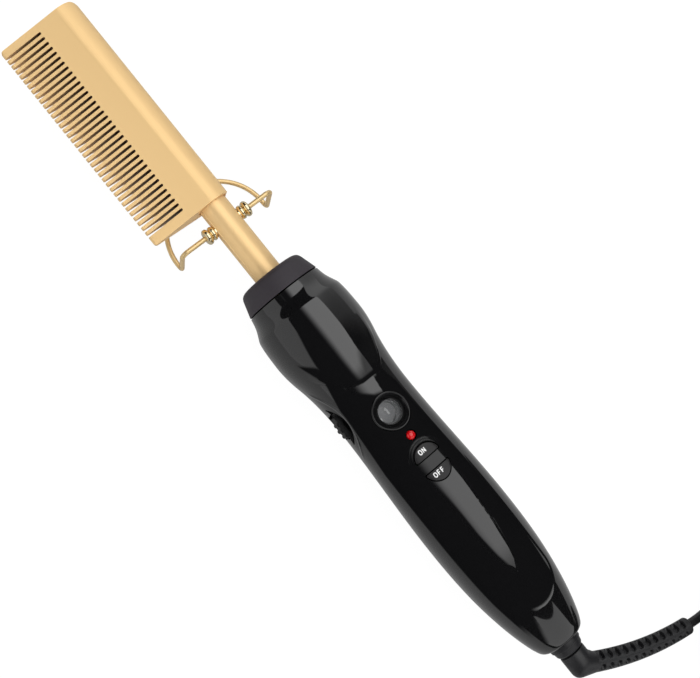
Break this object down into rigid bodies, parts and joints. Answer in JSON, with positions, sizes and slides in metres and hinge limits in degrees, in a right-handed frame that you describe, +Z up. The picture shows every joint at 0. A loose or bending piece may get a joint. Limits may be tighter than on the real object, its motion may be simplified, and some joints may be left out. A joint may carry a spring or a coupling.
{
  "type": "hot comb",
  "caption": "Electric hot comb: heated metal comb on a tube, rounded handle with thumbwheel, dial window and two buttons, fold-out wire stand, swivel cord with plug.",
  "frame": {"origin": "centre of the small flat under the handle's bulge, on the surface the comb lies on", "axes": "+X along the handle to its tail, +Y to the spine of the comb (teeth point to -Y), +Z up, to the buttons"},
  "size_m": [0.4028, 0.1259, 0.0378],
  "materials": {
    "comb_gold": "satin gold coating",
    "tube_gold": "satin gold coating",
    "wire_brass": "bright wire",
    "boss_brass": "polished",
    "gloss_black": "high gloss moulding",
    "collar_plastic": "matte heat-resistant moulding",
    "button_plastic": "satin moulding",
    "wheel_plastic": "satin ribbed moulding",
    "clear_lens": "clear domed lens",
    "lamp_red": "tinted clear dome",
    "flex_black": "matte flexible moulding",
    "cord_black": "glossy cord jacket",
    "plug_black": "moulded plug",
    "blade_metal": "plated blades",
    "ceramic": "sintered ceramic",
    "board": "fibreglass laminate",
    "component": "moulded components",
    "steel": "plated steel",
    "sleeve": "glass-fibre sleeve",
    "mica": "pressed mica",
    "switch_metal": "metal-topped switch"
  },
  "bodies": {
    "handle": {"comb_plate": "comb_gold", "barrel_tube": "tube_gold", "heater_rod": "ceramic", "heater_leads": "sleeve", "thermistor": "component", "sensor_leads": "sleeve", "thermal_fuse": "sleeve", "stand_bosses": "boss_brass", "heat_collar": "collar_plastic", "heat_washer": "mica", "front_shell": "gloss_black", "back_shell": "gloss_black", "housing_screws": "steel", "window_bezel": "gloss_black", "window_lens": "clear_lens", "potentiometer": "component", "indicator_lens": "lamp_red", "indicator_led": "lamp_red", "tact_switches": "switch_metal", "control_board": "board", "board_screws": "steel", "capacitor": "component", "triac": "component", "mains_leads": "sleeve", "swivel_contacts": "component", "neck_ring": "flex_black"},
    "stand": {"stand_wire": "wire_brass"},
    "wheel": {"temperature_wheel": "wheel_plastic"},
    "on_key": {"on_button": "button_plastic"},
    "off_key": {"off_button": "button_plastic"},
    "cord_swivel": {"swivel_elbow": "flex_black", "strain_relief": "flex_black", "power_cord": "cord_black", "cord_coil": "cord_black", "cord_tail": "cord_black", "cord_tie": "flex_black", "plug_body": "plug_black", "plug_blades": "blade_metal"}
  },
  "joints": [
    {"name": "stand_fold", "type": "hinge", "parent": "handle", "child": "stand", "pos_m": [-0.0532, 0, 0.0186], "axis": [0, -1, 0], "range_deg": [-20, 103]},
    {"name": "wheel_turn", "type": "hinge", "parent": "handle", "child": "wheel", "pos_m": [0.033, -0.003, 0.0186], "axis": [0, 0, 1], "range_deg": [0, 280]},
    {"name": "on_press", "type": "slide", "parent": "handle", "child": "on_key", "axis": [0, 0, -1], "range_m": [0, 0.0006], "stiffness_N_per_m": 600, "springref_m": -0.001},
    {"name": "off_press", "type": "slide", "parent": "handle", "child": "off_key", "axis": [0, 0, -1], "range_m": [0, 0.0006], "stiffness_N_per_m": 600, "springref_m": -0.001},
    {"name": "cord_swivel_turn", "type": "hinge", "parent": "handle", "child": "cord_swivel", "pos_m": [0.144, 0, 0.0186], "axis": [1, 0, 0], "continuous": true}
  ]
}
